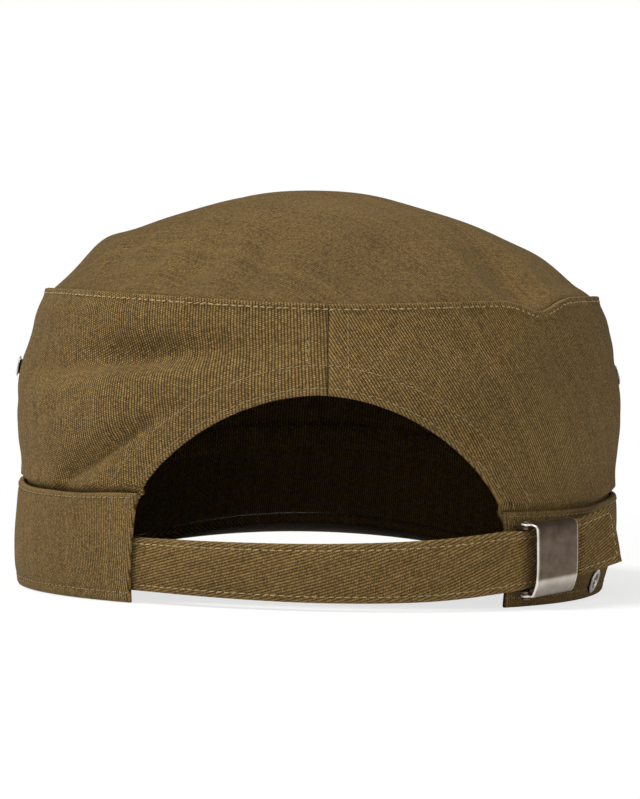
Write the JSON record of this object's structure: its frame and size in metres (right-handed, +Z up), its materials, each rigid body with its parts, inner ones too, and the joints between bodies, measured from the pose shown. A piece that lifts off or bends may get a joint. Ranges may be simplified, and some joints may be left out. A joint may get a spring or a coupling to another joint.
{
  "type": "cadet cap",
  "caption": "Soft twill cadet cap with a puffed flat-seamed crown, band, stiff peak, arched rear opening and an adjuster strap held by a hinged metal clasp.",
  "frame": {"origin": "middle of the bottom of the bounding box, on the surface the cap rests on", "axes": "+Z up, +Y towards the back of the cap, -Y towards the peak, +X towards the wearer's left"},
  "size_m": [0.1876, 0.2698, 0.1227],
  "materials": {
    "crown_twill": "washed cotton twill, matt",
    "band_twill": "washed cotton twill, matt",
    "strap_twill": "folded cotton twill tape, matt",
    "thread": "light olive sewing thread",
    "clasp_steel": "antiqued, satin",
    "eyelet_steel": "antiqued, satin"
  },
  "bodies": {
    "cap": {"top_panel": "crown_twill", "front_panel": "crown_twill", "side_panel_left": "crown_twill", "side_panel_right": "crown_twill", "band": "band_twill", "peak": "band_twill", "strap": "strap_twill", "clasp_base": "clasp_steel", "clasp_rivet_upper": "clasp_steel", "clasp_rivet_lower": "clasp_steel", "band_eyelet": "eyelet_steel", "vent_eyelet_left": "eyelet_steel", "vent_eyelet_right": "eyelet_steel"},
    "lever": {"clasp_lever": "clasp_steel"}
  },
  "joints": [
    {"name": "lever_hinge", "type": "hinge", "parent": "cap", "child": "lever", "pos_m": [-0.05718, 0.11795, 0.02385], "axis": [-0.0213, -0.0972, -0.995], "range_deg": [0, 75]}
  ]
}
